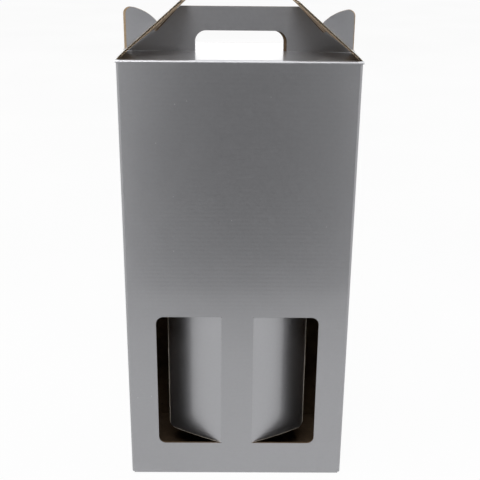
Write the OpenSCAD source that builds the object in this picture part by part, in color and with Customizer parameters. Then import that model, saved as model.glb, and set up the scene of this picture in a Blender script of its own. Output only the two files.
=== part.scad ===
// Two-bottle wine carrier folded from one blank of silver-faced corrugated board.
// Every panel is three plies: a silver outer liner, a wavy flute sheet and a kraft inner liner.
// Millimetres. The origin is the middle of the base, +Z is up and the windows face -Y.

/* [Box] */
// Width over the outer faces
box_w = 180; // [150:1:220]
// Depth over the outer faces
box_d = 90; // [80:1:110]
// Height of the roof above the table
box_h = 356; // [300:1:400]

/* [Board] */
// Thickness of the silver outer liner
outer_liner_t = 0.3; // [0.2:0.05:0.4]
// Thickness of the kraft inner liner
inner_liner_t = 0.2; // [0.15:0.05:0.3]
// Height of the flutes between the two liners
flute_h = 1.1; // [0.9:0.1:1.4]
// Distance from one flute to the next
flute_pitch = 3.4; // [3:0.1:4.2]
// Thickness of the flute paper
medium_t = 0.18; // [0.12:0.02:0.24]
// Share of the pitch that lies flat along each crest
crest_share = 0.22; // [0.15:0.01:0.3]
// Inside radius of a folded corner
fold_inner_r = 0.4; // [0.3:0.1:0.8]

/* [Handle] */
// Height of the handle leaves above the roof
leaf_h = 33.7; // [30:0.1:38]
// Gap from the side wall's outer face to the end of a leaf
leaf_end_gap = 2.6; // [2:0.1:4]
// How far each leaf's hand hole is out of line along the box
hole_shift = 1.2; // [0:0.1:1.6]
// Width of the hand hole
hand_hole_w = 70.4; // [50:0.1:80]
// Height of the hand hole above the roof
hand_hole_h = 15.8; // [12:0.1:20]
// Radius of the hand hole's upper corners
hand_hole_r = 8.5; // [4:0.1:11]
// Radius of an ear's upper edge about the fold of its top flap
ear_r = 34.5; // [32:0.1:36]
// Radius of an ear's outer corner
ear_corner_r = 5; // [3:0.1:7]
// Distance from the 45 degree line through the top fold to the inner edge of the slit
slit_offset = 7.8; // [7:0.1:10]
// Width of the slit that takes the top flap's bridge
slit_w = 3.6; // [2.8:0.1:4]
// Distance along the slit from the top fold to its blind end
slit_start = 30; // [26:0.1:33]

/* [Top flaps] */
// Length of a top flap from fold to free edge
top_flap_len = 64.6; // [60:0.1:72]
// Lean of a closed top flap above the horizontal
top_flap_lean = 40; // [39:0.1:41]
// Width of the slot that drops over the ears
slot_w = 9; // [8:0.1:14]
// Length of the slot from the fold
slot_len = 37.5; // [37:0.1:42]
// Radius of the slot's blind corners
slot_r = 2; // [1:0.1:3]
// Radius of a top flap's free corners
top_flap_r = 3; // [2:0.1:8]

/* [Windows] */
// Width of the strip between the two windows
strip_w = 26; // [20:1:36]
// Width of a window
window_w = 53; // [40:1:56]
// Height of a window
window_h = 119; // [80:1:140]
// Height of a window's lower edge above the table
window_z = 31; // [20:1:60]
// Radius of a window's outer corners
window_r = 6; // [3:0.5:12]
// Angle at which a window flap leaves its crease at rest
window_lean = 25; // [10:1:30]
// Radius of the gentle curl of a window flap
curl_r = 300; // [200:10:600]
// How far a window flap can swing inwards from its rest
window_swing = 60; // [30:1:60]

/* [Base] */
// Distance from the back wall's outer face to the foot of the tongue's ramp
ramp_back = 27; // [24:1:30]
// Taper of the front base flap's two sides
shoulder_taper = 4; // [2:1:8]
// Width of the locking tongue
tongue_w = 80; // [60:1:84]
// Length of the tongue's ramp, seen from above
ramp_len = 12; // [11:1:14]
// Length of the tongue that lies on the back flap
tongue_lap = 12; // [8:1:14]
// Radius of the tongue's corners
tongue_r = 8; // [4:0.5:8]
// Width of the slit beside the tongue
tongue_slit_w = 2; // [1:0.5:4]
// Room on each side of the tongue in the back flap's recess
recess_gap = 2; // [1:0.5:4]
// How far the back flap's two legs reach past the middle of the base
leg_reach = 12; // [8:1:16]
// Length of a side base flap from the side wall
side_flap_len = 42; // [35:1:43]
// Taper of each edge of a side base flap
side_flap_taper = 9; // [4:1:14]
// Width of the glue flap
glue_flap_w = 28; // [20:1:34]
// Slope length cut from each end of the glue flap
glue_flap_taper = 14; // [6:1:20]

/* [Clearances] */
// Gap left at a fold that moves
crease_gap = 0.15; // [0.1:0.05:0.3]
// Gap on each side of a panel between its neighbours
edge_gap = 0.4; // [0.3:0.05:0.6]
// Film between plies and between stacked flaps
film = 0.03; // [0.02:0.01:0.05]

/* [Hidden] */
$fn = 64;

// Depth below the silver face, board and fold
board_t = outer_liner_t + flute_h + inner_liner_t;
fold_r = fold_inner_r + board_t;
fold_steps = 8;
half_w = box_w / 2;
half_d = box_d / 2;
// Faces of the walls where the round folds begin
fold_x = half_w - fold_r;
fold_y = half_d - fold_r;
// The crushed fold of the roof stands a little proud of the corners
fold_tip_x = half_w + 0.6;
// Levels of the stacked base flaps: front, sides, back, tongue
level = board_t + film;
// The leaves stand back to back with a gap for their play
leaf_y = board_t + crease_gap;
leaf_half = half_w - leaf_end_gap;
leaf_z = box_h + crease_gap;
// The roof stops short of the leaning flaps
roof_half = half_w - (board_t / cos(top_flap_lean) + edge_gap / 2) / tan(top_flap_lean);
// Turn of the fold between a side wall and its closed top flap, halved
top_mitre = tan((90 - top_flap_lean) / 2);
// Turn of a window flap's crease at its inward limit, halved
window_mitre = tan((window_lean + window_swing) / 2);
window_in = strip_w / 2;
window_out = window_in + window_w;
curl_angle = (window_w - edge_gap) / curl_r * 180 / PI;
// Places along the depth in the base
ramp_y = half_d - ramp_back;
lap_y = ramp_y + ramp_len;
corner_ease = 0.1;
// How far a cutter runs past what it cuts
overrun = 1;
// Long enough to cut through anything
far = box_w + box_d;
silver = [0.62, 0.62, 0.64];
kraft = [0.66, 0.5, 0.34];
medium = [0.55, 0.41, 0.28];

// Depths of one ply below the silver face
function ply_top(ply) =
    ply == "outer" ? 0 : ply == "flutes" ? outer_liner_t + film : board_t - inner_liner_t;
function ply_bottom(ply) =
    ply == "outer" ? outer_liner_t : ply == "flutes" ? board_t - inner_liner_t - film : board_t;
function ply_colour(ply) = ply == "outer" ? silver : ply == "flutes" ? medium : kraft;

// A quarter turn of a folded edge: centre, radius, first angle and turn. It is drawn with its tangents,
// so that its two ends are square to the flats that they meet.
function fold_arc(centre, r, from, turn) =
    let (step = turn / fold_steps)
    concat(
        [centre + r * [cos(from), sin(from)]],
        [for (i = [0.5:fold_steps]) let (a = from + step * i) centre + r / cos(step / 2) * [cos(a), sin(a)]],
        [centre + r * [cos(from + turn), sin(from + turn)]]
    );

// A path follows the silver face, with the board on its right-hand side
function path_normal(path, i) = let (v = path[i + 1] - path[i]) [v[1], -v[0]] / norm(v);
function path_mitre(path, i) =
    i == 0 ? path_normal(path, 0)
    : i == len(path) - 1 ? path_normal(path, i - 1)
    : let (a = path_normal(path, i - 1), b = path_normal(path, i)) (a + b) / (1 + a * b);
function path_offset(path, depth) = [for (i = [0:len(path) - 1]) path[i] + depth * path_mitre(path, i)];
function path_sums(path, i = 0, sum = 0) =
    i == len(path) - 1 ? [sum] : concat([sum], path_sums(path, i + 1, sum + norm(path[i + 1] - path[i])));
function path_segment(sums, s) = max([for (i = [0:len(sums) - 2]) if (s >= sums[i] || i == 0) i]);
function path_point(path, sums, s, depth) =
    let (
        i = path_segment(sums, s),
        a = path[i] + depth * path_mitre(path, i),
        b = path[i + 1] + depth * path_mitre(path, i + 1)
    )
    a + (s - sums[i]) / (sums[i + 1] - sums[i]) * (b - a);

// The flute sheet: flat crests joined by slanted webs, four points to a pitch
function flute_line(path, sums, first, last, high, low) =
    [for (k = [0:floor((last - first) / flute_pitch * 4 - 0.01)])
        let (
            turn = k % 4,
            shift = turn == 1 || turn == 3 ? crest_share * flute_pitch : turn == 2 ? flute_pitch / 2 : 0,
            base = first + floor(k / 4) * flute_pitch,
            s = turn == 3 ? base + flute_pitch / 2 + shift : base + shift
        )
        if (s < last) path_point(path, sums, s, turn < 2 ? high : low)];
function flute_outline(path, first, last, top, bottom) =
    let (
        sums = path_sums(path),
        upper = flute_line(path, sums, first, last, top, bottom - medium_t),
        lower = flute_line(path, sums, first, last, top + medium_t, bottom)
    )
    concat(upper, [for (i = [len(lower) - 1:-1:0]) lower[i]]);
function liner_outline(path, top, bottom) =
    let (lower = path_offset(path, bottom))
    concat(path_offset(path, top), [for (i = [len(lower) - 1:-1:0]) lower[i]]);

// The profile of one ply along a path
module ply_profile(ply, path) {
    sums = path_sums(path);
    last = sums[len(sums) - 1] - edge_gap / 2;
    if (ply == "flutes")
        polygon(flute_outline(path, edge_gap / 2, last, ply_top(ply), ply_bottom(ply)));
    else
        polygon(liner_outline(path, ply_top(ply), ply_bottom(ply)));
}

// Plies that run along X have their profile in Y and Z, and those along Y in X and Z
module along_x(from, to) rotate([90, 0, 90]) translate([0, 0, from]) linear_extrude(to - from) children();
module along_y(from, to) rotate([90, 0, 0]) translate([0, 0, -to]) linear_extrude(to - from) children();
module both_sides() {
    children();
    mirror([1, 0, 0]) children();
}
module round_rect(x, y, r) {
    square([x - 2 * r, y], center = true);
    square([x, y - 2 * r], center = true);
    for (i = [-1, 1], j = [-1, 1]) translate([i * (x / 2 - r), j * (y / 2 - r)]) circle(r);
}

// An upright fold between two walls, in the corner where x and y are both positive
module corner_fold(ply, x, y, from, to) translate([x, y, from]) rotate_extrude(angle = 90)
    translate([fold_r - ply_bottom(ply), 0]) square([ply_bottom(ply) - ply_top(ply), to - from]);

// A wall with its rounded fold at the base, whose outer face is at -face, and the roof fold on request
function wall_path(face, base_z, top_z) =
    concat(fold_arc([fold_r - face, base_z + fold_r], fold_r, 270, -90), [[-face, top_z]]);
function roof_fold_path() = fold_arc([-fold_y, box_h - fold_r], fold_r, 180, -90);
function end_wall_path(base_z) = concat(wall_path(half_d, base_z, box_h - fold_r), roof_fold_path());

module end_wall(ply, base_z, from, to) {
    along_x(from, to) ply_profile(ply, dedupe(end_wall_path(base_z)));
    for (span = [[-fold_tip_x, from], [to, fold_tip_x]])
        along_x(span[0], span[1]) ply_profile(ply, roof_fold_path());
}
// Removes the doubled point where two stretches of a path meet
function dedupe(path) =
    [for (i = [0:len(path) - 1]) if (i == 0 || norm(path[i] - path[i - 1]) > 0.001) path[i]];

// The window in the panel, drawn as x and z, its crease edge cut back with the depth
module window_shape(crease_cut) {
    inner = window_in - crease_cut;
    translate([inner, window_z]) square([window_out - window_r - inner, window_h]);
    translate([inner, window_z + window_r]) square([window_out - inner, window_h - 2 * window_r]);
    for (z = [window_z + window_r, window_z + window_h - window_r])
        translate([window_out - window_r, z]) circle(window_r);
}
module front_panel(ply) {
    crease_cut = crease_gap + ply_bottom(ply) * window_mitre;
    color(ply_colour(ply)) difference() {
        union() {
            end_wall(ply, 0, -fold_x, fold_x);
            both_sides() mirror([0, 1, 0]) corner_fold(ply, fold_x, fold_y, fold_r, box_h - fold_r);
        }
        both_sides() rotate([90, 0, 0]) translate([0, 0, fold_y - fold_r]) linear_extrude(3 * fold_r)
            window_shape(crease_cut);
    }
}

// The back panel runs past the left wall's fold, where its raw edge shows
module back_panel(ply) color(ply_colour(ply)) {
    mirror([0, 1, 0]) end_wall(ply, 2 * level, -half_w, fold_x);
    corner_fold(ply, fold_x, fold_y, 2 * level + fold_r, box_h - fold_r);
}

// A side wall ends at the mitred crease of its top flap
function side_top(ply) = box_h - crease_gap - ply_bottom(ply) * top_mitre;
module side_wall(ply, to) along_y(-fold_y, to) ply_profile(ply, wall_path(half_w, level, side_top(ply)));
// The glue flap's fold turns inside the back panel
glue_y = half_d - board_t - film;
module left_panel(ply) color(ply_colour(ply)) {
    side_wall(ply, glue_y - fold_r);
    mirror([1, 0, 0]) corner_fold(ply, fold_x, glue_y - fold_r, 2 * level + fold_r, box_h - fold_r);
}
module right_panel(ply) color(ply_colour(ply)) mirror([1, 0, 0]) side_wall(ply, fold_y);

module glue_flap(ply) {
    low = 2 * level + 2 * fold_r;
    high = box_h - fold_r;
    color(ply_colour(ply)) intersection() {
        mirror([0, 1, 0]) along_x(-fold_x, -fold_x + glue_flap_w)
            ply_profile(ply, [[-glue_y, low], [-glue_y, high]]);
        translate([-fold_x, half_d, 0]) rotate([90, 0, 0]) linear_extrude(3 * fold_r) polygon([
            [0, low], [glue_flap_w, low + glue_flap_taper], [glue_flap_w, high - glue_flap_taper], [0, high]
        ]);
    }
}

// The base: front flap at the bottom, then the side flaps, the back flap and the front flap's tongue
module front_flap_outline() {
    shoulder = ramp_y + fold_r;
    polygon([
        [-fold_x, -fold_y], [fold_x, -fold_y], [fold_x - shoulder_taper, shoulder],
        [-fold_x + shoulder_taper, shoulder]
    ]);
    tip = lap_y + tongue_lap;
    translate([0, (tip - fold_y) / 2]) round_rect(tongue_w, tip + fold_y, tongue_r);
}
// Slits part the tongue from the shoulders where its ramp begins
module tongue_slits() for (side = [-1, 1])
    translate([side * (tongue_w + tongue_slit_w) / 2, ramp_y + fold_r])
        square([tongue_slit_w, 4 * fold_r], center = true);
module base_front_flap(ply) {
    path = [
        [lap_y + tongue_lap, 3 * level], [lap_y, 3 * level], [ramp_y, 0], [-fold_y, 0]
    ];
    flat = [[ramp_y + 2 * fold_r, 0], [-fold_y, 0]];
    color(ply_colour(ply)) {
        intersection() {
            along_x(-tongue_w / 2, tongue_w / 2) ply_profile(ply, path);
            linear_extrude(far, center = true) front_flap_outline();
        }
        both_sides() intersection() {
            along_x(tongue_w / 2 - film, fold_x) ply_profile(ply, flat);
            linear_extrude(far, center = true) difference() {
                front_flap_outline();
                tongue_slits();
            }
        }
    }
}
module base_back_flap(ply) {
    recess_y = lap_y + recess_gap / 2;
    color(ply_colour(ply)) difference() {
        mirror([0, 1, 0]) along_x(-fold_x + edge_gap, fold_x - edge_gap)
            ply_profile(ply, [[leg_reach, 2 * level], [-fold_y, 2 * level]]);
        translate([0, recess_y - far / 2]) linear_extrude(far, center = true)
            round_rect(tongue_w + 2 * recess_gap, far, recess_gap);
    }
}
module base_side_flap(ply) color(ply_colour(ply)) intersection() {
    along_y(-fold_y, fold_y) ply_profile(ply, [[-fold_x + side_flap_len, level], [-fold_x, level]]);
    linear_extrude(far, center = true) translate([-fold_x, 0]) polygon([
        [0, -fold_y + edge_gap], [side_flap_len, -fold_y + side_flap_taper],
        [side_flap_len, fold_y - side_flap_taper], [0, fold_y - edge_gap]
    ]);
}

module roof(ply) color(ply_colour(ply))
    along_x(-roof_half, roof_half) ply_profile(ply, [[-fold_y, box_h], [-crease_gap, box_h]]);

// One handle leaf seen from the front, x to the right and the roof at zero height
module leaf_outline(shift) difference() {
    translate([-leaf_half, 0]) square([2 * leaf_half, leaf_h]);
    translate([shift, 0]) hand_hole_shape();
    both_sides() translate([half_w, 0]) {
        slit_shape();
        above_ear_shape();
        ear_corner_shape();
    }
}
module hand_hole_shape() {
    translate([-hand_hole_w / 2, -overrun]) square([hand_hole_w, hand_hole_h + overrun - hand_hole_r]);
    translate([0, hand_hole_h - hand_hole_r]) round_rect(hand_hole_w, 2 * hand_hole_r, hand_hole_r - 0.01);
}
// The slit lies along 45 degrees, its blind end rounded
module slit_shape() rotate(135) translate([slit_start, 0]) {
    translate([0, slit_offset - slit_w]) square([far, slit_w]);
    translate([0, slit_offset - slit_w / 2]) circle(slit_w / 2);
}
// What lies outside the slit and beyond the ear's arc is cut away
module above_ear_shape() difference() {
    rotate(135) translate([slit_start, slit_offset - slit_w / 2 - far]) square(far);
    circle(ear_r, $fn = 128);
}
// The ear's outer corner is a small circle that touches its arc and its upright edge
module ear_corner_shape() {
    x = -leaf_end_gap - ear_corner_r;
    z = sqrt(pow(ear_r - ear_corner_r, 2) - x * x);
    reach = ear_r / (ear_r - ear_corner_r);
    difference() {
        translate([x * reach, z]) square([-x * reach, ear_r]);
        translate([x, z]) circle(ear_corner_r);
        translate([x * reach - overrun, z]) square([overrun, z * reach - z]);
    }
}
module handle_leaf(ply, shift) color(ply_colour(ply)) intersection() {
    along_x(-half_w, half_w) ply_profile(ply, [[-leaf_y, leaf_z], [-leaf_y, box_h + leaf_h]]);
    translate([0, 0, box_h]) rotate([90, 0, 0]) linear_extrude(3 * leaf_y) leaf_outline(shift);
}

// A top flap drawn flat: x from its fold, y across the box
module top_flap_outline() {
    root_half = fold_y - edge_gap;
    wide_half = half_d - edge_gap;
    // The root stays narrow past the roof folds of the front and back, then widens over them
    root_x = fold_r + edge_gap;
    wide_x = root_x + fold_r;
    difference() {
        union() {
            translate([0, -root_half]) square([wide_x, 2 * root_half]);
            polygon([[root_x, -root_half], [wide_x, -wide_half], [wide_x, wide_half], [root_x, root_half]]);
            translate([(wide_x + top_flap_len) / 2, 0])
                square([top_flap_len - wide_x - 2 * top_flap_r, 2 * wide_half], center = true);
            translate([wide_x, -wide_half]) square([top_flap_r * 2, 2 * wide_half]);
            translate([(wide_x + top_flap_len) / 2, 0])
                square([top_flap_len - wide_x, 2 * (wide_half - top_flap_r)], center = true);
            for (side = [-1, 1])
                translate([top_flap_len - top_flap_r, side * (wide_half - top_flap_r)]) circle(top_flap_r);
        }
        translate([-far / 2 + slot_len, 0]) round_rect(far, slot_w, slot_r);
    }
}
module top_flap(ply) color(ply_colour(ply)) translate([-half_w, 0, box_h]) rotate([0, -top_flap_lean, 0])
    intersection() {
        along_y(-half_d, half_d) ply_profile(ply, [
            [crease_gap + ply_bottom(ply) * top_mitre, 0], [top_flap_len, 0]
        ]);
        linear_extrude(far, center = true) top_flap_outline();
    }

// A window flap is the piece cut from the window. It leaves its crease at an angle and is curled a
// little further inwards about an upright axis.
curl_axis = [window_in - curl_r * sin(window_lean), curl_r * cos(window_lean) - half_d];
module window_flap(ply) {
    start = (crease_gap + ply_bottom(ply) * window_mitre) / curl_r * 180 / PI;
    low = window_z + edge_gap / 2;
    high = window_z + window_h - edge_gap / 2;
    color(ply_colour(ply)) translate(curl_axis) difference() {
        rotate([0, 0, window_lean + start - 90]) rotate_extrude(angle = curl_angle - start, $fn = 360)
            ply_profile(ply, [[curl_r, high], [curl_r, low]]);
        rotate([0, 0, window_lean + curl_angle - 90]) translate([curl_r, 0, 0]) {
            free_corner(low, 1);
            free_corner(high, -1);
        }
    }
}
// Trims one free corner to the window's radius, seen square to the board. Its circle is a hair
// larger than the radius, so that it crosses the two edges instead of only touching them.
module free_corner(z, up) translate([0, 0, z + up * window_r]) rotate([0, 90, 0])
    linear_extrude(4 * board_t, center = true) difference() {
        translate([up > 0 ? 0 : -window_r - overrun, -window_r]) square(window_r + overrun);
        translate([0, -window_r]) circle(window_r + corner_ease);
    }

front_panel("outer");  // front_panel_outer_liner
front_panel("flutes");  // front_panel_flutes
front_panel("inner");  // front_panel_inner_liner
back_panel("outer");  // back_panel_outer_liner
back_panel("flutes");  // back_panel_flutes
back_panel("inner");  // back_panel_inner_liner
left_panel("outer");  // left_panel_outer_liner
left_panel("flutes");  // left_panel_flutes
left_panel("inner");  // left_panel_inner_liner
right_panel("outer");  // right_panel_outer_liner
right_panel("flutes");  // right_panel_flutes
right_panel("inner");  // right_panel_inner_liner
glue_flap("outer");  // glue_flap_outer_liner
glue_flap("flutes");  // glue_flap_flutes
glue_flap("inner");  // glue_flap_inner_liner
base_front_flap("outer");  // base_front_flap_outer_liner
base_front_flap("flutes");  // base_front_flap_flutes
base_front_flap("inner");  // base_front_flap_inner_liner
base_back_flap("outer");  // base_back_flap_outer_liner
base_back_flap("flutes");  // base_back_flap_flutes
base_back_flap("inner");  // base_back_flap_inner_liner
base_side_flap("outer");  // base_left_flap_outer_liner
base_side_flap("flutes");  // base_left_flap_flutes
base_side_flap("inner");  // base_left_flap_inner_liner
mirror([1, 0, 0]) base_side_flap("outer");  // base_right_flap_outer_liner
mirror([1, 0, 0]) base_side_flap("flutes");  // base_right_flap_flutes
mirror([1, 0, 0]) base_side_flap("inner");  // base_right_flap_inner_liner
roof("outer");  // front_roof_outer_liner
roof("flutes");  // front_roof_flutes
roof("inner");  // front_roof_inner_liner
mirror([0, 1, 0]) roof("outer");  // back_roof_outer_liner
mirror([0, 1, 0]) roof("flutes");  // back_roof_flutes
mirror([0, 1, 0]) roof("inner");  // back_roof_inner_liner
handle_leaf("outer", hole_shift);  // front_handle_outer_liner
handle_leaf("flutes", hole_shift);  // front_handle_flutes
handle_leaf("inner", hole_shift);  // front_handle_inner_liner
mirror([0, 1, 0]) handle_leaf("outer", -hole_shift);  // back_handle_outer_liner
mirror([0, 1, 0]) handle_leaf("flutes", -hole_shift);  // back_handle_flutes
mirror([0, 1, 0]) handle_leaf("inner", -hole_shift);  // back_handle_inner_liner
top_flap("outer");  // left_top_flap_outer_liner
top_flap("flutes");  // left_top_flap_flutes
top_flap("inner");  // left_top_flap_inner_liner
mirror([1, 0, 0]) top_flap("outer");  // right_top_flap_outer_liner
mirror([1, 0, 0]) top_flap("flutes");  // right_top_flap_flutes
mirror([1, 0, 0]) top_flap("inner");  // right_top_flap_inner_liner
mirror([1, 0, 0]) window_flap("outer");  // left_window_flap_outer_liner
mirror([1, 0, 0]) window_flap("flutes");  // left_window_flap_flutes
mirror([1, 0, 0]) window_flap("inner");  // left_window_flap_inner_liner
window_flap("outer");  // right_window_flap_outer_liner
window_flap("flutes");  // right_window_flap_flutes
window_flap("inner");  // right_window_flap_inner_liner
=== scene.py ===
# %% [markdown]
# # A silver carton for two wine bottles
#
# The real object is one sheet of corrugated board, printed silver on one side, cut, creased and folded
# into a carrier: four walls, a snap-lock base, a roof that turns up into a handle, and two top flaps that
# lock the handle. All of it could be built here from flat sheets, but the CAD model already holds each ply
# of that board as a solid of its own. So Blender's work is mostly in the papers: the satin print, the brown
# kraft and the wave of the flutes that shows through. We start by loading the imported solids, with a few
# helpers to measure and move them.

# %% Load the imported carton
import math

import bmesh
import bpy
from mathutils import Euler, Matrix, Vector


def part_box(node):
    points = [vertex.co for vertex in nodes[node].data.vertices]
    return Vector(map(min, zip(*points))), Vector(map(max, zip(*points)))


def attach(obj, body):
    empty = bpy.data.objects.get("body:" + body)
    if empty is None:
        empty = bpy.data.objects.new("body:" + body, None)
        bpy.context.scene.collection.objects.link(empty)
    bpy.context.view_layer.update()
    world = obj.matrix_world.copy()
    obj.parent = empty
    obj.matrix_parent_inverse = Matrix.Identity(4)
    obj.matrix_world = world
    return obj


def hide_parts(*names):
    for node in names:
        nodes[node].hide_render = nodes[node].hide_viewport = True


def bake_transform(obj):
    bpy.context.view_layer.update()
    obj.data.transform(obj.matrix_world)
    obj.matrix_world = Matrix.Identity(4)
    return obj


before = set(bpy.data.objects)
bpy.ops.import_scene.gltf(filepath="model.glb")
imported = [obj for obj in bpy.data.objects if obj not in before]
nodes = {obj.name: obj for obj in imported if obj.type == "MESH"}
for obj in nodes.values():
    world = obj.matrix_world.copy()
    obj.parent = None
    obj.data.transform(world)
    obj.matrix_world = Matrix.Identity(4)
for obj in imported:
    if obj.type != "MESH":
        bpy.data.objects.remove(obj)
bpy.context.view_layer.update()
MM = 0.001


def in_mm(values):
    return [round(value / MM, 1) for value in values]


# %% [markdown]
# ## The camera
#
# The picture was taken from a little above the handle, looking down by about 21 degrees. A camera can be
# turned by hand until the edges seem to match, but walls that narrow towards the table fool the eye. So the
# place and the angles below came from fitting a camera to the edges of the front, the windows, the hand hole
# and the folds of the roof. The lens is stated for Blender's usual sensor, 36 mm wide.

# %% Place the camera
LENS = 65.56
SENSOR_WIDTH = 36
EYE_PLACE = Vector((-4.8, -683.1, 459.8)) * MM
EYE_TURNS = (69.170, -0.508, -0.371)
NEAREST, FURTHEST = 0.01, 50

eye = bpy.data.objects.new("eye", bpy.data.cameras.new("eye"))
bpy.context.scene.collection.objects.link(eye)
eye.data.lens = LENS
eye.data.sensor_width = SENSOR_WIDTH
eye.data.clip_start = NEAREST
eye.data.clip_end = FURTHEST
eye.location = EYE_PLACE
eye.rotation_euler = Euler([math.radians(turn) for turn in EYE_TURNS])
bpy.context.scene.camera = eye
bpy.context.scene.view_settings.view_transform = "Standard"
print("camera at", in_mm(eye.location), "mm, lens", LENS, "mm")

# %% [markdown]
# ## Short ways to write a material
#
# A Blender material is a graph of small nodes. It can be wired up by hand in the editor or node by node in a
# script, but both soon grow long, and most of ours only do plain arithmetic on a place on the board. So a few
# helpers keep each recipe readable: one that fills a socket with a value or a link, one for each kind of sum,
# and one that turns a band of values into a soft step from 0 to 1.

# %% Put nodes into a graph
def fill(tree, socket, value):
    """Links a socket to another, or writes a plain value on it. A colour is written without its alpha."""
    if isinstance(value, bpy.types.NodeSocket):
        tree.links.new(value, socket)
    elif socket.type == "RGBA":
        socket.default_value = (*value, 1)
    else:
        socket.default_value = value


def put(tree, kind, settings=None, feeds=None):
    """Adds a node, with its settings and with what feeds its inputs, by name or by number."""
    node = tree.nodes.new(kind)
    for name, value in (settings or {}).items():
        setattr(node, name, value)
    for name, value in (feeds or {}).items():
        fill(tree, node.inputs[name], value)
    return node


def new_material(name, finish):
    """A material, its graph, its shader, the place on the piece and the way its surface faces."""
    material = bpy.data.materials.new(name)
    material.use_nodes = True
    tree = material.node_tree
    shader = tree.nodes["Principled BSDF"]
    for socket, value in finish.items():
        fill(tree, shader.inputs[socket], value)
    coordinates = put(tree, "ShaderNodeTexCoord")
    return material, tree, shader, coordinates.outputs["Object"], coordinates.outputs["Normal"]


print("graph helpers ready")


# %% Do sums in a graph
def work(tree, operation, *values):
    return put(tree, "ShaderNodeMath", {"operation": operation}, dict(enumerate(values))).outputs[0]


def product(tree, first, *others):
    for other in others:
        first = work(tree, "MULTIPLY", first, other)
    return first


def vector_work(tree, operation, *values):
    return put(tree, "ShaderNodeVectorMath", {"operation": operation}, dict(enumerate(values))).outputs[0]


def along(tree, vector, direction):
    """How far a vector reaches along a direction."""
    node = put(tree, "ShaderNodeVectorMath", {"operation": "DOT_PRODUCT"}, {0: vector, 1: direction})
    return node.outputs["Value"]


def axes_of(tree, vector):
    """The X, Y and Z of a vector."""
    return put(tree, "ShaderNodeSeparateXYZ", None, {0: vector}).outputs


print("sum helpers ready")


# %% Make patterns in a graph
def switch(tree, value, low, high, start=0.0, end=1.0):
    """A soft step from start to end as the value goes from low to high."""
    settings = {"interpolation_type": "SMOOTHSTEP"}
    feeds = {"Value": value, "From Min": low, "From Max": high, "To Min": start, "To Max": end}
    return put(tree, "ShaderNodeMapRange", settings, feeds).outputs[0]


def between(tree, share, first, second):
    """A colour between two colours. A Mix node keeps its colours at inputs 6 and 7 and output 2."""
    return put(tree, "ShaderNodeMix", {"data_type": "RGBA"}, {0: share, 6: first, 7: second}).outputs[2]


def grain(tree, place, scale, detail=2.0, roughness=0.5):
    """Cloudy noise from 0 to 1, with about as many clouds to the metre as the scale says."""
    feeds = {"Vector": place, "Scale": scale, "Detail": detail, "Roughness": roughness}
    return put(tree, "ShaderNodeTexNoise", None, feeds).outputs["Fac"]


def stretched(tree, place, scale):
    """The place with each axis scaled by its own amount, so that a noise becomes long fibres."""
    node = put(tree, "ShaderNodeMapping", {"vector_type": "POINT"}, {"Vector": place, "Scale": scale})
    return node.outputs[0]


print("pattern helpers ready")

# %% [markdown]
# ## The table and the white room
#
# A product like this stands on a wide white sweep. More light would turn any floor white, but it would wash
# out the carton too. So the floor is one large plain sheet that is pale by its own colour, and Light Path lets
# the camera, and whatever the silver mirrors, see it a little brighter than the lamps alone would make it,
# with the soft shadow of the carton still on it. Right under the carton that help is left out, so the table
# stays dark where it is seen from inside through the gaps of the base. The room behind is done the same way.

# %% Lay the floor
FLOOR_REACH = 6.0
FLOOR_DROP = 0.4 * MM


def object_from(shape, name):
    """Turns a bmesh into an object of the scene."""
    mesh = bpy.data.meshes.new(name)
    shape.to_mesh(mesh)
    shape.free()
    thing = bpy.data.objects.new(name, mesh)
    bpy.context.scene.collection.objects.link(thing)
    return thing


sheet = bmesh.new()
bmesh.ops.create_grid(sheet, x_segments=1, y_segments=1, size=FLOOR_REACH)
floor = object_from(sheet, "floor")
floor.location.z = -FLOOR_DROP
print("floor", 2 * FLOOR_REACH, "m wide")

# %% Paint the floor
FLOOR_WHITE = (0.82, 0.82, 0.83)
FLOOR_GLOW = (0.95, 0.97)
WHITE = (1.0, 1.0, 1.0)
DARK_HALF_WIDTH = 85 * MM
DARK_HALF_DEPTH = 40 * MM


def looked_at(tree):
    """1 for the rays that should find white: the camera's, a mirror's and those through glass."""
    rays = put(tree, "ShaderNodeLightPath").outputs
    seen = work(tree, "MAXIMUM", rays["Is Camera Ray"], rays["Is Glossy Ray"])
    return work(tree, "MAXIMUM", seen, rays["Is Transmission Ray"])


def mix_surfaces(tree, share, first, second):
    """Shows the second shader by share and the first by the rest."""
    mixed = put(tree, "ShaderNodeMixShader", None, {0: share, 1: first, 2: second})
    tree.links.new(mixed.outputs[0], tree.nodes["Material Output"].inputs["Surface"])


finish = {"Roughness": 0.9, "Base Color": FLOOR_WHITE, "Specular IOR Level": 0.2}
paper, tree, shader, place, _ = new_material("floor_white", finish)
glow = put(tree, "ShaderNodeEmission", None, {"Color": WHITE, "Strength": 1.0})
cloud = switch(tree, grain(tree, place, 3.0), 0.2, 0.8, *FLOOR_GLOW)
at = axes_of(tree, place)
beside = work(tree, "GREATER_THAN", work(tree, "ABSOLUTE", at["X"]), DARK_HALF_WIDTH)
before = work(tree, "GREATER_THAN", work(tree, "ABSOLUTE", at["Y"]), DARK_HALF_DEPTH)
share = product(tree, looked_at(tree), cloud, work(tree, "MAXIMUM", beside, before))
mix_surfaces(tree, share, shader.outputs[0], glow.outputs[0])
floor.data.materials.append(paper)
print("floor dark under", in_mm((2 * DARK_HALF_WIDTH, 2 * DARK_HALF_DEPTH)), "mm of the carton")

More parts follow.
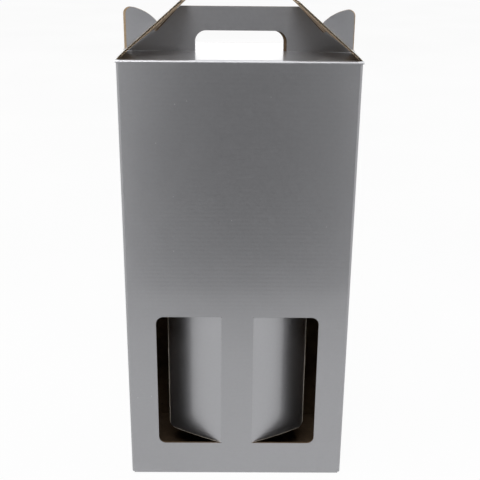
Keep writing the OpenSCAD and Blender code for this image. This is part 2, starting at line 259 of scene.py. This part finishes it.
# %% Paint the room
ROOM_LIGHT = 0.05
world = bpy.data.worlds.new("white_room")
bpy.context.scene.world = world
world.use_nodes = True
tree = world.node_tree
sky = tree.nodes["Background"]
fill(tree, sky.inputs["Color"], WHITE)
fill(tree, sky.inputs["Strength"], switch(tree, looked_at(tree), 0.0, 1.0, ROOM_LIGHT, 1.0))
print("the room lights the carton by", ROOM_LIGHT, "and looks white")

# %% [markdown]
# ## The lamps and the black flag
#
# Satin silver looks like what it mirrors. The front of the carton mirrors the table before it, which is bright
# close by and dark further off, where the light doesn't reach. Grey paint on the front could imitate that, but
# it would stay there when the carton is turned. A studio uses a flag, a dark card, and so do we: ours stands
# before the carton, is seen by mirror rays alone and fades out at both ends. A wide softbox overhead gives the
# folded edges their white line, and a smaller one above the camera lights the front.

# %% Hang the lamps
LAMPS = {
    # name: centre, height on the carton's axis that it is aimed at, size, watts
    "overhead": ((0.0, -0.1, 1.65), 0.30, (1.7, 1.2), 12.5),
    "key": ((-0.15, -1.1, 1.6), 0.30, (0.8, 0.5), 14),
    "left_side": ((-1.4, -0.5, 1.3), 0.25, (0.7, 1.0), 1.2),
    "right_side": ((1.4, -0.4, 1.3), 0.25, (0.7, 1.0), 1.0),
    "behind": ((0.0, 2.2, 0.95), 0.36, (2.6, 1.2), 8.0),
}
for name, (centre, aim, size, watts) in LAMPS.items():
    lamp = bpy.data.lights.new(name, "AREA")
    lamp.shape = "RECTANGLE"
    lamp.size, lamp.size_y = size
    lamp.energy = watts
    holder = bpy.data.objects.new(name, lamp)
    bpy.context.scene.collection.objects.link(holder)
    holder.location = centre
    holder.rotation_euler = (Vector((0, 0, aim)) - Vector(centre)).to_track_quat("-Z", "Y").to_euler()
    holder.visible_camera = False
    print(name, watts, "W")

# %% Stand the flag
FLAG_HALF_HEIGHT = 0.5
FLAG_STRETCH = 1.2
FLAG_PLACE = (0.018, -0.43, 0.5)
FLAG_DARK_TO, FLAG_GONE_AT = 0.13, 0.165

card = bmesh.new()
bmesh.ops.create_grid(card, x_segments=1, y_segments=1, size=FLAG_HALF_HEIGHT)
bmesh.ops.scale(card, vec=(FLAG_STRETCH, 1.0, 1.0), verts=card.verts)
bmesh.ops.rotate(card, matrix=Matrix.Rotation(math.radians(90), 3, "X"), verts=card.verts)
flag = object_from(card, "flag")
flag.location = FLAG_PLACE
for kind in ("camera", "diffuse", "transmission", "volume_scatter", "shadow"):
    setattr(flag, "visible_" + kind, False)

finish = {"Roughness": 1.0, "Base Color": (0.02, 0.02, 0.02)}
black, tree, shader, place, _ = new_material("flag_black", finish)
to_side = work(tree, "ABSOLUTE", axes_of(tree, place)["X"])
clear = put(tree, "ShaderNodeBsdfTransparent")
shown = switch(tree, to_side, FLAG_DARK_TO, FLAG_GONE_AT, 1.0, 0.0)
mix_surfaces(tree, shown, clear.outputs[0], shader.outputs[0])
flag.data.materials.append(black)
print("flag dark over", 2 * FLAG_DARK_TO, "m of its width")

# %% [markdown]
# ## The silver print
#
# The outer liner is paper with a satin metallic ink under a thin varnish. A plain metal shader would look
# like sheet steel. Three things make it read as printed board: the ink is mottled and a little dusty, the
# surface rises and falls over each flute, and every cut edge is bare brown paper. All three are worked out
# from the place on the board and the way it faces, because the solids carry no map of their skin. The flutes
# run across the walls, so the ripple repeats up the wall; on the roof and on the leaning flaps it repeats
# along the way they slope.

# %% The ripple of the flutes
FLUTE_PITCH = 3.4 * MM


def ripple(tree, place, across):
    """Height of the flutes that show through, from 0 to 1, repeating along a direction."""
    turns = work(tree, "MULTIPLY", along(tree, place, across), 2 * math.pi / FLUTE_PITCH)
    return work(tree, "MULTIPLY_ADD", work(tree, "COSINE", turns), 0.5, 0.5)


def raise_surface(tree, shader, heights):
    """Chains bumps on the shader: each is a height from 0 to 1 and how tall 1 is, in metres."""
    normal = None
    for height, tall in heights:
        feeds = {"Height": height, "Distance": tall, "Strength": 1.0}
        if normal:
            feeds["Normal"] = normal
        normal = put(tree, "ShaderNodeBump", None, feeds).outputs[0]
    fill(tree, shader.inputs["Normal"], normal)


print("flute pitch", FLUTE_PITCH / MM, "mm")

# %% The colour of brown paper
KRAFT = (0.45, 0.325, 0.195)
KRAFT_DARK = (0.35, 0.24, 0.14)


def kraft_colour(tree, place, light, dark):
    """Brown paper: a cloudy tone, short pale fibres and a few dark shives."""
    cloud = grain(tree, place, 90.0, 3.0)
    fibres = grain(tree, stretched(tree, place, (1.0, 1.0, 0.22)), 2600.0, 3.0, 0.6)
    shives = grain(tree, stretched(tree, place, (0.25, 1.0, 1.0)), 1500.0, 1.0)
    pale, black = [min(1, c * 1.45) for c in light], [c * 0.45 for c in dark]
    colour = between(tree, switch(tree, cloud, 0.3, 0.7), dark, light)
    colour = between(tree, switch(tree, fibres, 0.5, 0.75, 0.0, 0.4), colour, pale)
    return between(tree, switch(tree, shives, 0.66, 0.72, 0.0, 0.55), colour, black)


print("kraft colours", KRAFT, "to", KRAFT_DARK)

# %% Specks of dust
DUST_SCALE = 85.0
DUST_SPREAD = (1.0, 0.4, 1.0)
SPECK_OUT, SPECK_IN = 0.035, 0.02
CLEAN_CELLS = 0.55


def dust_on(tree, place):
    """1 on a few tiny specks. Space is cut into cells, and about every second one has a speck in it."""
    feeds = {"Vector": vector_work(tree, "MULTIPLY", place, DUST_SPREAD), "Scale": DUST_SCALE}
    cells = put(tree, "ShaderNodeTexVoronoi", None, feeds).outputs
    chance = put(tree, "ShaderNodeSeparateColor", None, {0: cells["Color"]}).outputs[0]
    speck = switch(tree, cells["Distance"], SPECK_OUT, SPECK_IN)
    return product(tree, speck, work(tree, "GREATER_THAN", chance, CLEAN_CELLS))


print("dust cells of", round(1000 / DUST_SCALE, 1), "mm")

# %% The silver liner, with its printed face and its bare edges
SILVER = (0.37, 0.371, 0.386)
DUST = (0.85, 0.85, 0.85)
BARE = (0.66, 0.60, 0.52)
BARE_DARK = (0.46, 0.40, 0.32)
INK_BEGINS, INK_FULL = 0.35, 0.6
MOTTLE_SHARE, DRIFT_SHARE, LOWEST_TONE = 0.13, 0.05, 0.91
DUST_COVERS, DUST_ROUGHENS, DRIFT_ROUGHENS = 0.6, 0.4, 0.04
SATIN = (0.30, 0.37)
SLACK_HEIGHT = 0.35 * MM
RIPPLE_HEIGHT = 0.019 * MM
TOOTH_HEIGHT = 0.012 * MM


def silver_liner(name, across, printed, shine=0.60, edge=(BARE, BARE_DARK), coat=0.7):
    """printed(tree, place, facing) is 1 on the printed face and 0 on a cut edge, which has the edge's two
    colours. The flutes repeat along across, shine is how metallic the ink is, and coat how varnished."""
    finish = {"Coat Weight": coat, "Coat Roughness": 0.10, "Coat IOR": 1.5}
    material, tree, shader, place, facing = new_material(name, finish)
    ink = switch(tree, printed(tree, place, facing), INK_BEGINS, INK_FULL)
    dust = dust_on(tree, place)
    mottle = grain(tree, place, 420.0, 4.0, 0.65)
    drift = grain(tree, place, 9.0, 2.0)
    tone = work(tree, "MULTIPLY_ADD", drift, DRIFT_SHARE, LOWEST_TONE)
    tone = work(tree, "MULTIPLY_ADD", mottle, MOTTLE_SHARE, tone)
    silver = put(tree, "ShaderNodeVectorMath", {"operation": "SCALE"}, {0: SILVER, "Scale": tone}).outputs[0]
    silver = between(tree, work(tree, "MULTIPLY", dust, DUST_COVERS), silver, DUST)
    fill(tree, shader.inputs["Base Color"], between(tree, ink, kraft_colour(tree, place, *edge), silver))
    fill(tree, shader.inputs["Metallic"], product(tree, ink, shine, work(tree, "SUBTRACT", 1.0, dust)))
    satin = work(tree, "MULTIPLY_ADD", drift, DRIFT_ROUGHENS, switch(tree, mottle, 0.3, 0.7, *SATIN))
    fill(tree, shader.inputs["Roughness"], work(tree, "MULTIPLY_ADD", dust, DUST_ROUGHENS, satin))
    slack = grain(tree, place, 28.0, 1.0)
    tooth = grain(tree, place, 1400.0, 2.0)
    waves = ripple(tree, place, across)
    raise_surface(tree, shader, [(slack, SLACK_HEIGHT), (waves, RIPPLE_HEIGHT), (tooth, TOOTH_HEIGHT)])
    return material


def facing_along(direction):
    """Printed where the surface faces along a direction, either way."""
    return lambda tree, place, facing: work(tree, "ABSOLUTE", along(tree, facing, direction))


print("silver ripple", RIPPLE_HEIGHT / MM, "mm high")

# %% [markdown]
# ## Brown papers
#
# The inner liner and the fluting are unprinted kraft. One flat brown would do from far away, but the cut edges
# are what tells corrugated board from plastic sheet, so both papers get fibres, a cloudy tone and a rough
# face. The inner liner has the same ripple as the outside. The fluting is the darker, thinner paper. Paper
# that is only seen through the windows is painted a much darker brown, as painted shade, so the inside stays
# dim.

# %% Kraft and fluting
# A much darker copy of the kraft: painted shade for the dim inside of the carton.
SHADED_KRAFT = (0.15, 0.10, 0.06)
SHADED_KRAFT_DARK = (0.11, 0.07, 0.04)
MEDIUM = (0.42, 0.30, 0.18)
# How far the painted shade of the kraft fades out.
SHADE_FADES = 12 * MM
KRAFT_RIPPLE_HEIGHT = 0.04 * MM
FELT_HEIGHT = 0.03 * MM


def kraft_liner(name, across, light=KRAFT, dark=KRAFT_DARK, unshaded_from=0.0):
    """Kraft in two tones. Given a distance from the middle, it is painted a much darker brown nearer to the
    carton's middle than that, as painted shade.
    """
    finish = {"Specular IOR Level": 0.25, "Sheen Weight": 0.08}
    material, tree, shader, place, _ = new_material(name, finish)
    colour = kraft_colour(tree, place, light, dark)
    if unshaded_from:
        out = work(tree, "ABSOLUTE", axes_of(tree, place)["X"])
        unshaded = switch(tree, out, unshaded_from - SHADE_FADES, unshaded_from)
        colour = between(tree, unshaded, kraft_colour(tree, place, SHADED_KRAFT, SHADED_KRAFT_DARK), colour)
    fill(tree, shader.inputs["Base Color"], colour)
    fill(tree, shader.inputs["Roughness"], switch(tree, grain(tree, place, 800.0), 0.3, 0.7, 0.78, 0.92))
    felt = grain(tree, stretched(tree, place, (1.0, 1.0, 0.4)), 1800.0, 3.0, 0.6)
    waves = ripple(tree, place, across)
    raise_surface(tree, shader, [(waves, KRAFT_RIPPLE_HEIGHT), (felt, FELT_HEIGHT)])
    return material


def flute_paper(name, light=MEDIUM):
    material, tree, shader, place, _ = new_material(name, {"Specular IOR Level": 0.2})
    dark = [c * 0.75 for c in light]
    fill(tree, shader.inputs["Base Color"], kraft_colour(tree, place, light, dark))
    fill(tree, shader.inputs["Roughness"], switch(tree, grain(tree, place, 700.0), 0.3, 0.7, 0.82, 0.95))
    raise_surface(tree, shader, [(grain(tree, place, 1500.0, 3.0, 0.6), FELT_HEIGHT)])
    return material


print("kraft ripple", KRAFT_RIPPLE_HEIGHT / MM, "mm high")

# %% Make the papers
UP = (0.0, 0.0, 1.0)
BACK = (0.0, 1.0, 0.0)
RIGHT = (1.0, 0.0, 0.0)
WAYS = {"up": UP, "back": BACK, "right": RIGHT}
kraft_up = kraft_liner("kraft_up", UP)
# The inner liners get the much darker brown, as painted shade.
shaded_kraft_of = {name: kraft_liner("inside_" + name, way, SHADED_KRAFT, SHADED_KRAFT_DARK) for name, way in WAYS.items()}
fluting = flute_paper("flute_paper")
# Fluting for the front wall, in the much darker brown: painted shade.
shaded_fluting = flute_paper("flute_shaded", SHADED_KRAFT)
print("papers:", sorted(material.name for material in bpy.data.materials))

# %% [markdown]
# ## Dressing the walls
#
# Each CAD node keeps its shape and only gets its paper. Its skin is one closed surface, so the faces could be
# sorted into printed and cut ones, but a mask in the material leaves the mesh alone. On the walls the printed
# side is the one that looks out of the carton, round its folded corners too. At the windows, and at the raw
# end of the back wall, the edge that the knife made faces along the wall instead, and there the brown paper
# shows. The cut edges and the fluting of the front wall are painted in the much darker inside brown, as
# painted shade.

# %% Tell printed faces from cut edges
HALF_WIDTH = 90 * MM
HALF_DEPTH = 45 * MM
ROOF_HEIGHT = 356 * MM
FOLD = 2.1 * MM
BASE_FOLD = 3 * FOLD
STICKS_OUT = 0.3 * MM


def outward_on_walls(left, right):
    """1 where a wall's skin looks out of the carton. left and right say if it is folded at those sides."""
    def mask(tree, place, facing):
        at, way = axes_of(tree, place), axes_of(tree, facing)
        near_roof = work(tree, "GREATER_THAN", at["Z"], ROOF_HEIGHT - FOLD)
        near_base = work(tree, "LESS_THAN", at["Z"], BASE_FOLD)
        out = product(tree, work(tree, "SIGN", at["Y"]), way["Y"])
        out = work(tree, "MAXIMUM", out, product(tree, way["Z"], near_roof))
        out = work(tree, "MAXIMUM", out, product(tree, way["Z"], -1.0, near_base))
        for side, folded in ((-1.0, left), (1.0, right)):
            if folded:
                reach = work(tree, "MULTIPLY", at["X"], side)
                close = work(tree, "GREATER_THAN", reach, HALF_WIDTH - FOLD)
                tip = work(tree, "LESS_THAN", reach, HALF_WIDTH + STICKS_OUT)
                out = work(tree, "MAXIMUM", out, product(tree, way["X"], side, close, tip))
        return out
    return mask


# The front wall's cut edges get the much darker brown: painted shade.
front_silver = silver_liner("silver_front", UP, outward_on_walls(True, True), edge=(SHADED_KRAFT, SHADED_KRAFT_DARK))
back_silver = silver_liner("silver_back", UP, outward_on_walls(False, True))
side_silver = silver_liner("silver_sides", UP, facing_along(RIGHT))
leaf_silver = silver_liner("silver_leaves", UP, facing_along(BACK), shine=0.45)
roof_silver = silver_liner("silver_roof", BACK, facing_along(UP))
base_silver = silver_liner("silver_base", BACK, facing_along(UP))
print("silvers:", [material.name for material in bpy.data.materials if "silver" in material.name])


# %% Dress the walls, the roof and the base
def dress(node, paper):
    target = nodes[node].data.materials
    target.clear()
    target.append(paper)


for panel, silver, across in (
    ("front_panel", front_silver, "up"), ("back_panel", back_silver, "up"), ("glue_flap", leaf_silver, "up"),
    ("left_panel", side_silver, "up"), ("right_panel", side_silver, "up"),
    ("front_roof", roof_silver, "back"), ("back_roof", roof_silver, "back"),
    ("base_front_flap", base_silver, "back"), ("base_back_flap", base_silver, "back"),
    ("base_left_flap", base_silver, "right"), ("base_right_flap", base_silver, "right"),
):
    dress(panel + "_outer_liner", silver)
    dress(panel + "_inner_liner", shaded_kraft_of[across])
    # The front wall's fluting gets the much darker brown: painted shade.
    dress(panel + "_flutes", shaded_fluting if panel == "front_panel" else fluting)
    print(panel, "in", silver.name)

# %% [markdown]
# ## The window flaps
#
# A window flap was cut from the front wall, so its ripple still repeats upwards, but its printed face turns
# with the flap's slight curl. No single direction tells print from edge there, so the mask asks whether the
# surface faces away from the upright axis that the flap is curled about. The axis is worked out from the
# crease, the lean of the flap there and the radius of the curl. Along the flap's free end and its lower edge
# the ink is left off in a hair's breadth, so pale bare paper shows there as a painted highlight of the cut
# edge.

# %% Find the print on a curled flap
WINDOW_LEAN = math.radians(25)
CURL_RADIUS = 300 * MM
CREASE = Vector((13, -45, 0)) * MM
CURL_AXIS = CREASE + CURL_RADIUS * Vector((-math.sin(WINDOW_LEAN), math.cos(WINDOW_LEAN), 0))
# A band this wide along the free end and lower edge shows pale paper: a painted highlight of the cut edge.
HIGHLIGHT_BAND = 0.6 * MM


def outward_from_curl(side, low, high):
    """1 where a flap's skin looks away from its axis, but not on a thin band along its free end and lower
    edge, left pale as a painted highlight.
    """
    free_end = max(abs(low.x), abs(high.x))

    def mask(tree, place, facing):
        arm = vector_work(tree, "SUBTRACT", place, (side * CURL_AXIS.x, CURL_AXIS.y, 0.0))
        arm = vector_work(tree, "NORMALIZE", vector_work(tree, "MULTIPLY", arm, (1.0, 1.0, 0.0)))
        at = axes_of(tree, place)
        before_end = work(tree, "LESS_THAN", work(tree, "ABSOLUTE", at["X"]), free_end - HIGHLIGHT_BAND)
        above_edge = work(tree, "GREATER_THAN", at["Z"], low.z + HIGHLIGHT_BAND)
        return product(tree, work(tree, "ABSOLUTE", along(tree, facing, arm)), before_end, above_edge)
    return mask


print("curl axis in mm:", in_mm(CURL_AXIS))

# %% Dress the window flaps
SIDES = (("left", -1), ("right", 1))
for name, side in SIDES:
    flap = name + "_window_flap"
    printed = outward_from_curl(side, *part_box(flap + "_outer_liner"))
    dress(flap + "_outer_liner", silver_liner(f"silver_{name}_window", UP, printed, shine=0.95))
    dress(flap + "_inner_liner", kraft_up)
    dress(flap + "_flutes", fluting)
    print(flap, "dressed")

# %% [markdown]
# ## The leaves of the handle
#
# The two leaves of a folded carton never meet exactly. The ears of the back one stand out a little, so a thin
# strip of its brown face shows beside the left ear, and a thinner one beside the right ear. Both ears have
# also been pressed a little lower at their outer corners. The CAD leaves have their hand holes apart already,
# but are otherwise alike, and a CAD node's mesh is never changed. So each ply is copied, the copy's ears are
# moved sideways and down, and the copy stands in for the node. The brown face is painted pale at the ears,
# as painted light, and much darker round the hole, as painted shade.

# %% Copy a ply of a CAD panel and let the copy stand in for it
PLIES = (("outer_liner", "silver_print"), ("flutes", "flute_paper"), ("inner_liner", "kraft_liner"))
TOUCHING = 0.001 * MM
SHARP_EDGE = math.radians(30)


def merged(node):
    """A copy of a CAD node's mesh, with its loose triangles joined."""
    ply = bmesh.new()
    ply.from_mesh(nodes[node].data)
    bmesh.ops.remove_doubles(ply, verts=ply.verts, dist=TOUCHING)
    return ply


def standing_in(node, name, ply, body, paper):
    """Makes a piece of a reshaped ply, in place of the CAD node that it was copied from."""
    piece = object_from(ply, name)
    mesh = piece.data
    # The copied normals no longer fit the new shape.
    if "custom_normal" in mesh.attributes:
        mesh.attributes.remove(mesh.attributes["custom_normal"])
    mesh.shade_smooth()
    mesh.set_sharp_from_angle(angle=SHARP_EDGE)
    mesh.materials.append(paper)
    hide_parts(node)
    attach(piece, body)
    return piece


print("plies:", [ply_name for ply_name, slot in PLIES])

# %% Move the ears
EAR_ROOT = 45 * MM
EAR_TIP = 87.3 * MM
LEAF_TOP = 389.7 * MM
# How far the left and the right ear move to the right, and how far they drop.
EAR_SHIFTS = {"front_handle": (0.8 * MM, 0.0), "back_handle": (-1.2 * MM, 0.9 * MM)}
EAR_DROPS = (0.8 * MM, 1.7 * MM)
# A paler copy of the kraft: painted light, for the ears of the leaves and the undersides of the top flaps.
LIT_KRAFT = (0.60, 0.46, 0.31)
LIT_KRAFT_DARK = (0.48, 0.35, 0.22)
# Nearer to the middle than this, the leaves' brown face is painted much darker: painted shade.
UNSHADED_FROM = 80 * MM


def eased(share):
    share = min(1.0, max(0.0, share))
    return share * share * (3 - 2 * share)


# The leaves' brown face: painted light at the ears and painted shade round the hole.
leaf_kraft = kraft_liner("kraft_leaves", UP, LIT_KRAFT, LIT_KRAFT_DARK, unshaded_from=UNSHADED_FROM)
for body, shifts in EAR_SHIFTS.items():
    for (ply_name, slot), paper in zip(PLIES, (leaf_silver, fluting, leaf_kraft)):
        node = f"{body}_{ply_name}"
        ply = merged(node)
        for vertex in ply.verts:
            right = vertex.co.x > 0
            out = eased((abs(vertex.co.x) - EAR_ROOT) / (EAR_TIP - EAR_ROOT))
            up = (vertex.co.z - ROOF_HEIGHT) / (LEAF_TOP - ROOF_HEIGHT)
            vertex.co.x += shifts[right] * min(1.0, 2 * out)
            vertex.co.z -= EAR_DROPS[right] * out * up
        piece = standing_in(node, node + "_slid", ply, body, paper)
        print(piece.name, len(piece.data.vertices), "vertices")

# %% [markdown]
# ## The twisted top flaps
#
# The lock pulls each top flap down at its middle, and the springy board is twisted there: its front lifts by
# a few degrees, most near the fold, and its back sinks, most between the fold and its middle. The CAD flap is
# flat, as it is cut. A lattice or a Simple Deform modifier could bend it, but both stretch the board. So here
# each ply is copied and sliced into narrow bands, and every vertex is turned about the fold by an angle of its
# own, which keeps its distance from the fold.

# %% Slice a ply of a top flap
LEAN = math.radians(40)
BAND = 4.5 * MM
BANDS_EACH_WAY = 9
BANDS_UP_SLOPE = 6
ON_CUT = 0.0001 * MM


def fold_of(side):
    """The fold of a top flap, at the carton's middle."""
    return Vector((side * HALF_WIDTH, 0, ROOF_HEIGHT))


def slope_of(side):
    """The way up a top flap, from its fold to its free end."""
    return Vector((-side * math.cos(LEAN), 0, math.sin(LEAN)))


def sliced(node, side):
    """A merged copy of a CAD ply, cut into bands across the box and, if it is a liner, up its slope."""
    ply = merged(node)
    slope = slope_of(side)
    steps = range(-BANDS_EACH_WAY, BANDS_EACH_WAY + 1)
    cuts = [(Vector((0, step * BAND, 0)), Vector(BACK)) for step in steps]
    if "liner" in node:
        cuts += [(fold_of(side) + slope * step * 2 * BAND, slope) for step in range(1, BANDS_UP_SLOPE + 1)]
    for point, normal in cuts:
        geometry = ply.verts[:] + ply.edges[:] + ply.faces[:]
        bmesh.ops.bisect_plane(ply, geom=geometry, dist=ON_CUT, plane_co=point, plane_no=normal)
    bmesh.ops.triangulate(ply, faces=ply.faces)
    return ply


print("bands of", BAND / MM, "mm")

# %% Twist it
FLAP_LENGTH = 64.6 * MM
# Degrees that the front edge lifts: all along it, more towards the fold, and more still right at the fold.
LIFTS = {"left": (1.6, 2.0, 5.5), "right": (1.2, 0.9, 3.0)}
# Degrees, in the same way, that the back edge sinks and that the middle is held down.
SINK, HOLLOW = 0.6, 360.0
PINCH, SAG = 0.8, 22.0


def lifted(forward, reach, lift, spring, kick):
    """Degrees that a point of a flap lifts. forward is 1 at its front edge and -1 at its back edge, and
    reach is 0 at its fold and 1 at its free end."""
    if forward > 0:
        swing = forward * (lift + spring * (1 - reach) ** 2 + kick * (1 - reach) ** 6)
    else:
        swing = forward * (SINK + HOLLOW * reach * (1 - reach) ** 3) * reach
    pinch = PINCH + SAG * reach * (1 - reach) ** 2
    return swing - (1 - abs(forward)) * pinch


def twist(ply, side, lifts):
    fold = fold_of(side)
    for vertex in ply.verts:
        arm = vertex.co - fold
        turn = math.radians(lifted(-arm.y / HALF_DEPTH, math.hypot(arm.x, arm.z) / FLAP_LENGTH, *lifts))
        vertex.co = fold + Matrix.Rotation(side * turn, 3, "Y") @ arm


for name, lifts in LIFTS.items():
    print(name, "flap lifts at its front corner by", round(lifted(1, 0, *lifts), 1), "degrees")

# %% Make and dress both twisted flaps
# A paler fluting for the edges of the top flaps: painted light.
LIT_MEDIUM = (0.66, 0.53, 0.38)
lit_fluting = flute_paper("flute_lit", LIT_MEDIUM)
for name, side in SIDES:
    body = name + "_top_flap"
    square = (side * math.sin(LEAN), 0.0, math.cos(LEAN))
    print_side = silver_liner(f"silver_{body}", slope_of(side), facing_along(square))
    # The brown underside is the paler kraft: painted light.
    brown_side = kraft_liner(f"kraft_{body}", slope_of(side), LIT_KRAFT, LIT_KRAFT_DARK)
    for (ply_name, slot), paper in zip(PLIES, (print_side, lit_fluting, brown_side)):
        node = f"{body}_{ply_name}"
        ply = sliced(node, side)
        twist(ply, side, LIFTS[name])
        piece = standing_in(node, node + "_twisted", ply, body, paper)
        print(piece.name, len(piece.data.polygons), "faces")

# %% [markdown]
# ## The bent paper in the creases
#
# Where a flap hinges, the CAD model leaves a gap of a fraction of a millimetre between two solids. On the
# real carton the silver liner runs on through the crease. Longer liners could close the gap at rest, but they
# would cut into each other as the flap swings. So each crease gets a narrow strip of liner, spun round the
# fold from the edge of one piece to the edge of the other. Where the roof turns up into the handle the strip
# rounds the inner corner. The ink is cracked along a crease, and flecks of brown show.

# %% Paper for the creases
def cracked(tree, place, facing):
    """Ink that has come off in flecks, whichever way the surface faces."""
    return switch(tree, grain(tree, place, 1100.0, 3.0, 0.7), 0.30, 0.42, 0.35, 1.0)


crease_silver = silver_liner("silver_crease", UP, cracked)
dull_silver = silver_liner("silver_handle_crease", UP, cracked, shine=0.2, coat=0.0)
print("crease papers:", crease_silver.name, dull_silver.name)

# %% Spin a strip
LINER = 0.3 * MM
GAP = 0.15 * MM
BEND_STEPS = 6
SHARP_RIM = math.radians(40)


def on_side(side, x, y, z):
    return Vector((side * x, y, z))


def ribbon(low, high, thick):
    """The corners of a strip's end: how deep each lies in the board, and where along the crease."""
    return (0, low), (thick, low), (thick, high), (0, high)


def bend_radius(start, end, turn):
    return (end - start).length / (2 * math.sin(turn / 2))


def strip(name, profile, axis, centre, turn, paper=crease_silver):
    """Spins a thin quad about a crease. profile holds its four corners."""
    bend = bmesh.new()
    corners = [bend.verts.new(point) for point in profile]
    edges = [bend.edges.new((corners[i], corners[(i + 1) % 4])) for i in range(4)]
    bmesh.ops.spin(bend, geom=corners + edges, cent=centre, axis=axis, angle=turn, steps=BEND_STEPS)
    bmesh.ops.holes_fill(bend, edges=[edge for edge in bend.edges if edge.is_boundary])
    bmesh.ops.recalc_face_normals(bend, faces=bend.faces)
    piece = object_from(bend, name)
    piece.data.shade_smooth()
    piece.data.set_sharp_from_angle(angle=SHARP_RIM)
    piece.data.materials.append(paper)
    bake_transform(piece)
    return piece


print("strips of", BEND_STEPS, "steps")

# %% Bend the strips at the windows
WINDOW_LOW, WINDOW_HIGH = 31.2 * MM, 149.8 * MM
WINDOW_BENDS_TO = math.radians(85)
WINDOW_CUT = GAP + LINER * math.tan(WINDOW_BENDS_TO / 2)
for name, side in SIDES:
    edge_x = CREASE.x - WINDOW_CUT
    start = on_side(side, edge_x, -HALF_DEPTH, WINDOW_LOW)
    flap_way = on_side(side, math.cos(WINDOW_LEAN), math.sin(WINDOW_LEAN), 0)
    end = on_side(side, CREASE.x, CREASE.y, WINDOW_LOW) + WINDOW_CUT * flap_way
    radius = bend_radius(start, end, WINDOW_LEAN)
    profile = [on_side(side, edge_x, -HALF_DEPTH + depth, z)
               for depth, z in ribbon(WINDOW_LOW, WINDOW_HIGH, LINER)]
    piece = strip(f"{name}_window_crease_liner", profile, UP, start + Vector((0, radius, 0)),
                  side * WINDOW_LEAN)
    print(piece.name, "bend radius", round(radius / MM, 2), "mm")

# %% Bend the strips at the folds of the top flaps
ROOT_HALF = 42.6 * MM
SLOT_HALF = 4.5 * MM
FOLD_TURN = math.radians(90) - LEAN
FOLD_CUT = GAP + LINER * math.tan(FOLD_TURN / 2)
for name, side in SIDES:
    for part, low, high in (("front", -ROOT_HALF, -SLOT_HALF), ("back", SLOT_HALF, ROOT_HALF)):
        start = on_side(side, HALF_WIDTH, low, ROOF_HEIGHT - FOLD_CUT)
        end = on_side(side, HALF_WIDTH, low, ROOF_HEIGHT) + FOLD_CUT * slope_of(side)
        radius = bend_radius(start, end, FOLD_TURN)
        profile = [on_side(side, HALF_WIDTH - depth, y, start.z) for depth, y in ribbon(low, high, LINER)]
        piece = strip(f"{name}_{part}_top_fold_liner", profile, BACK, start - Vector((side * radius, 0, 0)),
                      -side * FOLD_TURN)
        print(piece.name, "bend radius", round(radius / MM, 2), "mm")

# %% Round the creases between the roof and the handle
LEAF_FACE = 1.75 * MM
HOLE_HALF = 35.4 * MM
HOLE_SHIFT = 1.2 * MM
ROUND = 0.25 * MM
SKIN = 0.1 * MM
for name, side in (("front", -1), ("back", 1)):
    body = name + "_handle"
    hole = -side * HOLE_SHIFT
    left_end = -EAR_TIP + EAR_SHIFTS[body][0]
    right_end = EAR_TIP + EAR_SHIFTS[body][1]
    for part, low, high in (("left", left_end, hole - HOLE_HALF), ("right", hole + HOLE_HALF, right_end)):
        start = Vector((low, side * (LEAF_FACE + ROUND), ROOF_HEIGHT))
        end = Vector((low, side * LEAF_FACE, ROOF_HEIGHT + ROUND))
        profile = [Vector((x, start.y, ROOF_HEIGHT - depth)) for depth, x in ribbon(low, high, SKIN)]
        piece = strip(f"{name}_{part}_handle_crease_liner", profile, RIGHT, start + Vector((0, 0, ROUND)),
                      -side * math.radians(90), dull_silver)
        print(piece.name, "length", round((high - low) / MM, 1), "mm")
